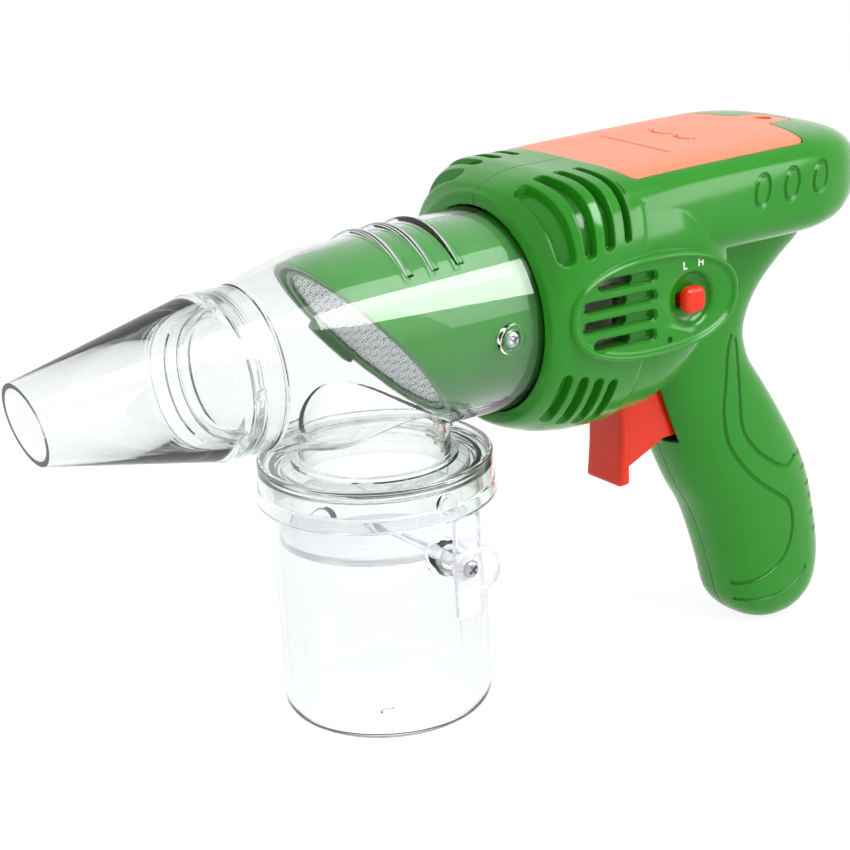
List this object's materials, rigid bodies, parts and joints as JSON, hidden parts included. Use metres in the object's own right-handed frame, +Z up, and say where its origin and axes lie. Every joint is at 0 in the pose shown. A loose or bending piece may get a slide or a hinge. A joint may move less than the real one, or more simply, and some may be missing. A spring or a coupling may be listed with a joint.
{
  "type": "toy bug vacuum",
  "caption": "Hand-held toy vacuum for catching insects: pistol-grip barrel, clear nozzle and chamber, mesh filter, catch jar with a trap door.",
  "frame": {"origin": "middle of the bounding box on the floor that the jar's front edge and the grip's foot stand on", "axes": "+Z up, -X towards the nozzle's mouth, +Y to the right-hand side; the barrel points 5.3 degrees down to the front"},
  "size_m": [0.31, 0.0892, 0.1783],
  "materials": {
    "clear_plastic": "clear, glossy, faint green edges",
    "smoke_plastic": "clear with a faint lilac tint, glossy",
    "green_plastic": "glossy grass green",
    "orange_plastic": "satin salmon orange",
    "red_plastic": "glossy orange red",
    "bright_steel": "bright nickel",
    "pin_metal": "dull copper colour",
    "dark_plastic": "matt black",
    "ivory_plastic": "natural",
    "cell_sleeve": "printed sleeve, plain"
  },
  "bodies": {
    "body": {"chamber_housing": "clear_plastic", "housing_screw_left": "bright_steel", "housing_screw_right": "bright_steel", "jar_collar": "clear_plastic", "collar_pin": "pin_metal", "filter_duct": "green_plastic", "filter_mesh": "bright_steel", "mesh_ring": "green_plastic", "shell_left": "green_plastic", "shell_right": "green_plastic", "trigger_pin": "bright_steel", "trigger_spring": "bright_steel", "speed_switch": "dark_plastic", "trigger_switch": "dark_plastic", "motor": "bright_steel", "motor_mount": "ivory_plastic", "fan_shroud": "ivory_plastic", "battery_tray": "dark_plastic", "battery_1": "cell_sleeve", "battery_2": "cell_sleeve", "battery_3": "cell_sleeve", "battery_4": "cell_sleeve", "contact_front": "bright_steel", "contact_left": "bright_steel", "contact_rear": "bright_steel", "contact_right_front": "bright_steel", "contact_right_rear": "bright_steel", "case_screw_1": "bright_steel", "case_screw_2": "bright_steel", "case_screw_3": "bright_steel", "case_screw_4": "bright_steel", "case_screw_5": "bright_steel", "case_screw_6": "bright_steel"},
    "nozzle": {"nozzle_cone": "clear_plastic"},
    "jar": {"jar": "clear_plastic"},
    "trap_door": {"trap_door": "smoke_plastic", "gate_lever": "smoke_plastic", "gate_screw": "bright_steel"},
    "battery_door": {"battery_door": "orange_plastic", "door_screw": "bright_steel"},
    "trigger": {"trigger": "red_plastic"},
    "speed_knob": {"speed_knob": "red_plastic"},
    "rotor": {"fan": "ivory_plastic", "motor_shaft": "bright_steel"}
  },
  "joints": [
    {"name": "trigger_pull", "type": "hinge", "parent": "body", "child": "trigger", "pos_m": [0.07935, 0.00425, 0.09532], "axis": [0, -1, 0], "range_deg": [0, 6], "stiffness_Nm_per_rad": 1.5, "springref_deg": -5.73},
    {"name": "speed_slide", "type": "slide", "parent": "body", "child": "speed_knob", "axis": [0.9957, 0, 0.0925], "range_m": [-0.002, 0.002]},
    {"name": "battery_door_hinge", "type": "hinge", "parent": "body", "child": "battery_door", "pos_m": [0.0387, 0.00425, 0.17189], "axis": [0, -1, 0], "range_deg": [0, 70]},
    {"name": "nozzle_twist", "type": "hinge", "parent": "body", "child": "nozzle", "pos_m": [-0.08791, 0.00425, 0.11745], "axis": [0.9957, 0, 0.0925], "range_deg": [0, 25]},
    {"name": "jar_twist", "type": "hinge", "parent": "body", "child": "jar", "pos_m": [-0.03406, 0.00425, 0.07826], "axis": [-0.0925, 0, 0.9957], "range_deg": [0, 30]},
    {"name": "trap_door_turn", "type": "hinge", "parent": "jar", "child": "trap_door", "pos_m": [-0.03249, 0.00425, 0.06134], "axis": [0, 1, 0], "range_deg": [0, 90]},
    {"name": "fan_spin", "type": "hinge", "parent": "body", "child": "rotor", "pos_m": [0.03157, 0.00425, 0.12855], "axis": [0.9957, 0, 0.0925], "continuous": true}
  ]
}
